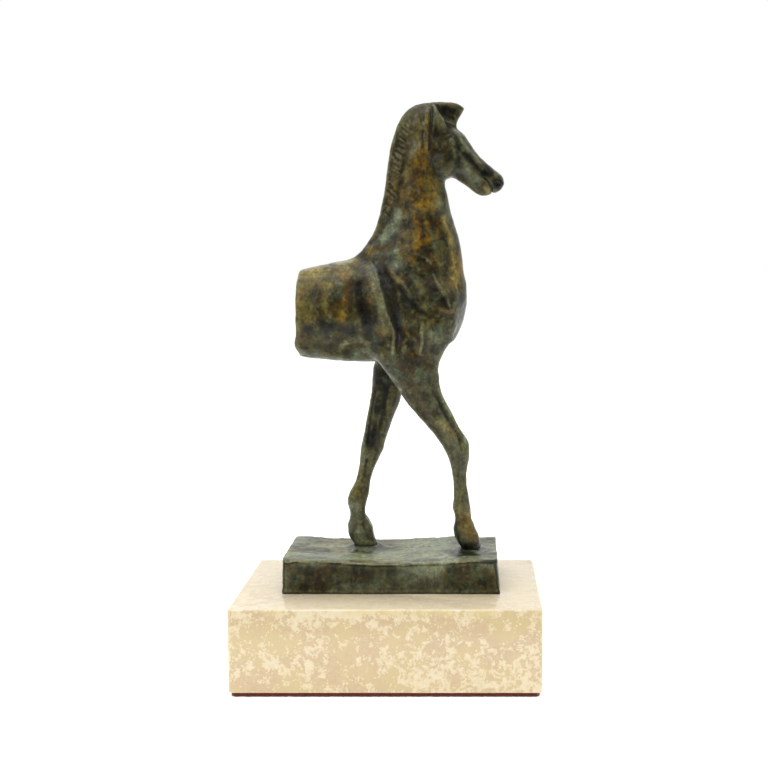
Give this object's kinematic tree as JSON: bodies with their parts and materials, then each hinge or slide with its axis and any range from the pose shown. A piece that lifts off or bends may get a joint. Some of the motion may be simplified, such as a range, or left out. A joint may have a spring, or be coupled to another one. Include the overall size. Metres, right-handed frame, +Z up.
{
  "type": "bronze statuette",
  "caption": "Patinated bronze forehand of a walking horse, cut off behind the shoulder, on a small bronze plinth bolted to a polished limestone block with felt under it.",
  "frame": {"origin": "on the table, under the middle of the block's footprint, on the underside of the felt", "axes": "+X towards the horse's muzzle, +Y towards its left side, away from the viewer, +Z up"},
  "size_m": [0.11, 0.073, 0.2098],
  "materials": {
    "bronze": "lost-wax cast bronze, dark olive-brown patina with green and ochre, waxed",
    "limestone": "polished cream limestone with paler clouds",
    "felt": "dark red felt, glued on",
    "steel": "bright zinc-plated steel"
  },
  "bodies": {
    "root": {"horse_figure": "bronze", "bronze_plinth": "bronze", "stone_base": "limestone", "felt_pad": "felt", "right_hoof_screw": "steel", "left_hoof_screw": "steel", "front_base_screw": "steel", "rear_base_screw": "steel", "front_spring_washer": "steel", "rear_spring_washer": "steel", "front_flat_washer": "steel", "rear_flat_washer": "steel"}
  },
  "joints": []
}
